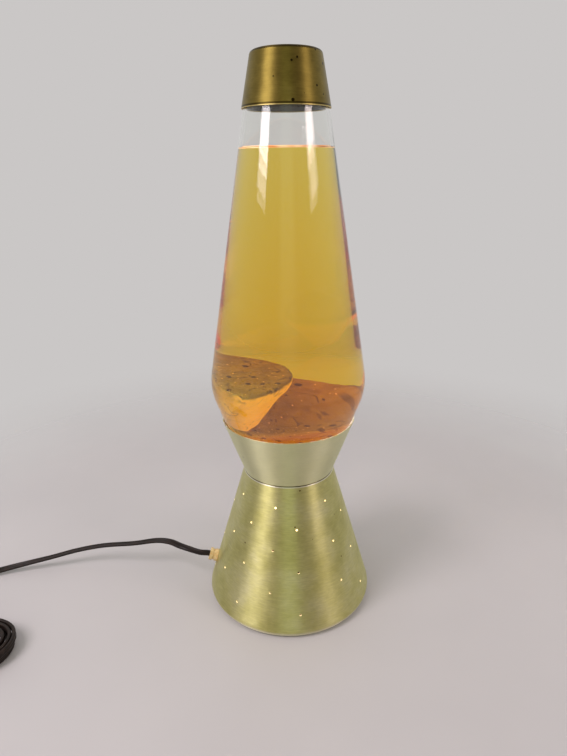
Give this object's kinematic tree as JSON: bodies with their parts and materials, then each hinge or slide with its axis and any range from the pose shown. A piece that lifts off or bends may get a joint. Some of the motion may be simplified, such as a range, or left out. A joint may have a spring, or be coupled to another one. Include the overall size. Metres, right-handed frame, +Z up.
{
  "type": "liquid motion lamp",
  "caption": "Table lamp: pierced spun-metal foot and cup, lift-out tapered bottle of yellow liquid and rising wax, lift-off cap, screw-in bulb and corded plug.",
  "frame": {"origin": "on the table under the middle of the foot", "axes": "+Z up through cap, bottle and foot; -Y to the front; the cord leaves toward -X"},
  "size_m": [0.4603, 0.1797, 0.432],
  "materials": {
    "spun_metal": "spun, satin",
    "cap_metal": "spun, satin",
    "eyelet_metal": "satin",
    "plate_metal": "zinc plated",
    "holder_moulding": "moulded",
    "brass_parts": "pressed",
    "screw_steel": "zinc plated",
    "cord_cover": "matt",
    "plug_moulding": "matt",
    "relief_moulding": "moulded",
    "tie_plastic": "matt",
    "bulb_glass": "frosted",
    "bulb_cap_metal": "pressed",
    "bulb_insulation": "glossy",
    "solder": "dull",
    "bulb_wire": "drawn",
    "filament_wire": "glowing",
    "bottle_glass": "clear",
    "yellow_liquid": "clear liquid",
    "wax": "waxy",
    "coil_wire": "drawn",
    "closure_metal": "lacquered",
    "liner_rubber": "matt"
  },
  "bodies": {
    "base": {"base_cone": "spun_metal", "cup": "spun_metal", "waist_eyelet": "eyelet_metal", "bottom_plate": "plate_metal", "socket_body": "holder_moulding", "socket_shell": "brass_parts", "socket_contact": "brass_parts", "socket_screws": "screw_steel", "socket_nuts": "screw_steel", "terminal_plates": "brass_parts", "terminal_screws": "brass_parts", "lead_a": "cord_cover", "lead_b": "cord_cover", "relief_body": "relief_moulding", "relief_wedge": "relief_moulding", "cord": "cord_cover", "cord_hank": "cord_cover", "cord_tie": "tie_plastic", "plug_body": "plug_moulding", "plug_blades": "brass_parts"},
    "bulb": {"bulb_glass": "bulb_glass", "bulb_cap": "bulb_cap_metal", "bulb_insulator": "bulb_insulation", "bulb_tip": "solder", "bulb_stem": "bulb_glass", "bulb_leads": "bulb_wire", "bulb_filament": "filament_wire"},
    "bottle": {"bottle": "bottle_glass", "bottle_neck": "bottle_glass", "liquid": "yellow_liquid", "wax_pool": "wax", "heat_coil": "coil_wire", "closure": "closure_metal", "closure_liner": "liner_rubber"},
    "wax": {"wax_lobe": "wax"},
    "cap": {"cap": "cap_metal"}
  },
  "joints": [
    {"name": "bulb_turn", "type": "hinge", "parent": "base", "child": "bulb", "pos_m": [0, 0, 0.05], "axis": [0, 0, 1], "range_deg": [0, 1620]},
    {"name": "bottle_lift", "type": "slide", "parent": "base", "child": "bottle", "axis": [0, 0, 1], "range_m": [0, 0.06]},
    {"name": "wax_rise", "type": "slide", "parent": "bottle", "child": "wax", "axis": [0.408, 0.0544, 0.9114], "range_m": [0, 0.07], "deforming": ["liquid"]},
    {"name": "cap_lift", "type": "slide", "parent": "bottle", "child": "cap", "axis": [0, 0, 1], "range_m": [0, 0.06]}
  ]
}
